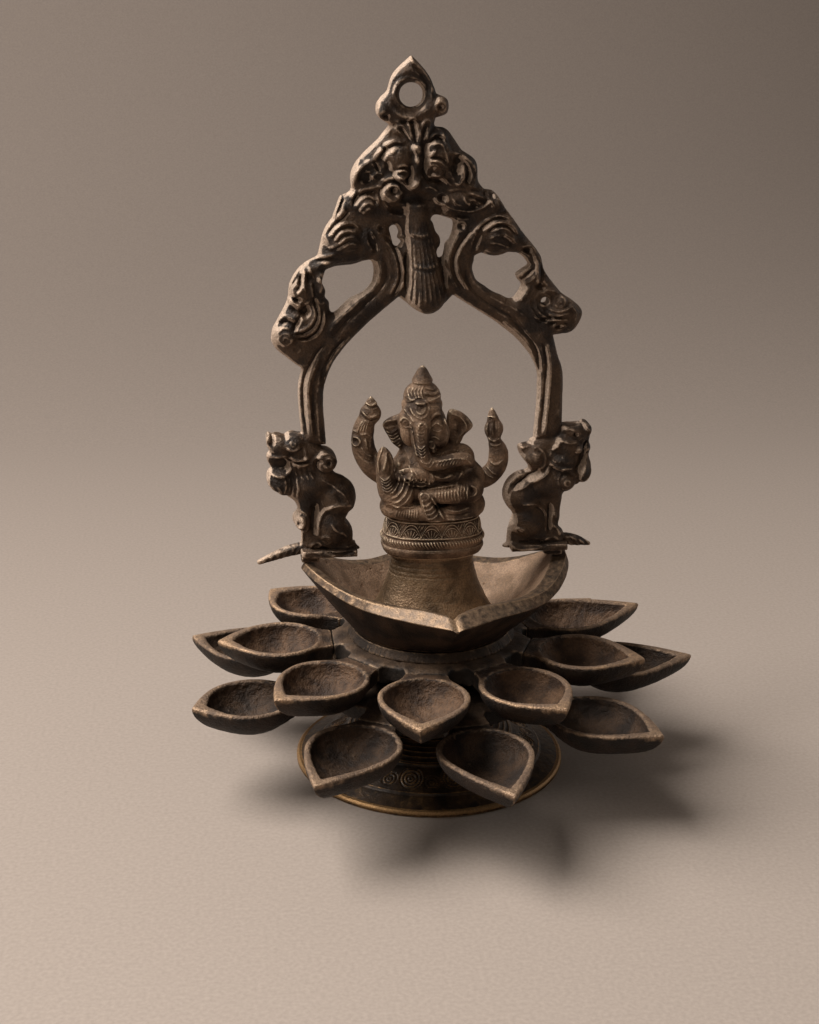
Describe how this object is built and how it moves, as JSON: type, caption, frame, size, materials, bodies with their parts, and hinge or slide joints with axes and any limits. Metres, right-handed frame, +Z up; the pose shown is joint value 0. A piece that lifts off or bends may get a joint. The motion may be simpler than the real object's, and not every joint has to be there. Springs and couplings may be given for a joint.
{
  "type": "oil lamp",
  "caption": "Standing or hanging bronze oil lamp: two turning tiers of leaf cups, a four-cornered bowl, and a seated elephant-headed figure under a cast arch.",
  "frame": {"origin": "on the tie rod's axis, in the plane that the foot's rim stands on", "axes": "+Z up along the tie rod, -Y to the figure's front, +X to the viewer's right of the arch"},
  "size_m": [0.2322, 0.2425, 0.3061],
  "materials": {
    "foot": "aged bronze, turned, dark patina with rubbed rings",
    "cups": "cast bronze, dark patina with rubbed golden rims",
    "bowl": "cast bronze, dark outside, pinkish-brown inside, filed rim",
    "worn_brass": "turned bell metal, rubbed to brass yellow in patches",
    "figure": "cast and chased bronze, dark patina",
    "arch": "cast and chased bronze, near-black patina",
    "hardware": "plain turned brass rod and nut"
  },
  "bodies": {
    "stand": {"foot_base": "foot", "stem_column": "foot", "tier_spacer": "foot", "tie_rod": "hardware", "foot_washer": "hardware", "foot_nut": "hardware"},
    "lower_tier": {"lower_tier_hub": "cups", "lower_cup_1": "cups", "lower_cup_2": "cups", "lower_cup_3": "cups", "lower_cup_4": "cups", "lower_cup_5": "cups", "lower_cup_6": "cups", "lower_cup_7": "cups", "lower_cup_8": "cups", "lower_cup_9": "cups"},
    "upper_tier": {"upper_tier_hub": "cups", "upper_cup_1": "cups", "upper_cup_2": "cups", "upper_cup_3": "cups", "upper_cup_4": "cups", "upper_cup_5": "cups", "upper_cup_6": "cups", "upper_cup_7": "cups", "upper_cup_8": "cups", "upper_cup_9": "cups"},
    "head": {"bowl_collar": "worn_brass", "oil_bowl": "bowl", "figure_pedestal": "worn_brass", "figure_seat": "figure", "seated_figure": "figure", "arch": "arch", "left_arch_post": "arch", "right_arch_post": "arch"}
  },
  "joints": [
    {"name": "lower_tier_turn", "type": "hinge", "parent": "stand", "child": "lower_tier", "pos_m": [0, 0, 0.0383], "axis": [0, 0, 1], "continuous": true},
    {"name": "upper_tier_turn", "type": "hinge", "parent": "stand", "child": "upper_tier", "pos_m": [0, 0, 0.0553], "axis": [0, 0, 1], "continuous": true},
    {"name": "head_turn", "type": "hinge", "parent": "stand", "child": "head", "pos_m": [0, 0, 0.0643], "axis": [0, 0, 1], "continuous": true}
  ]
}
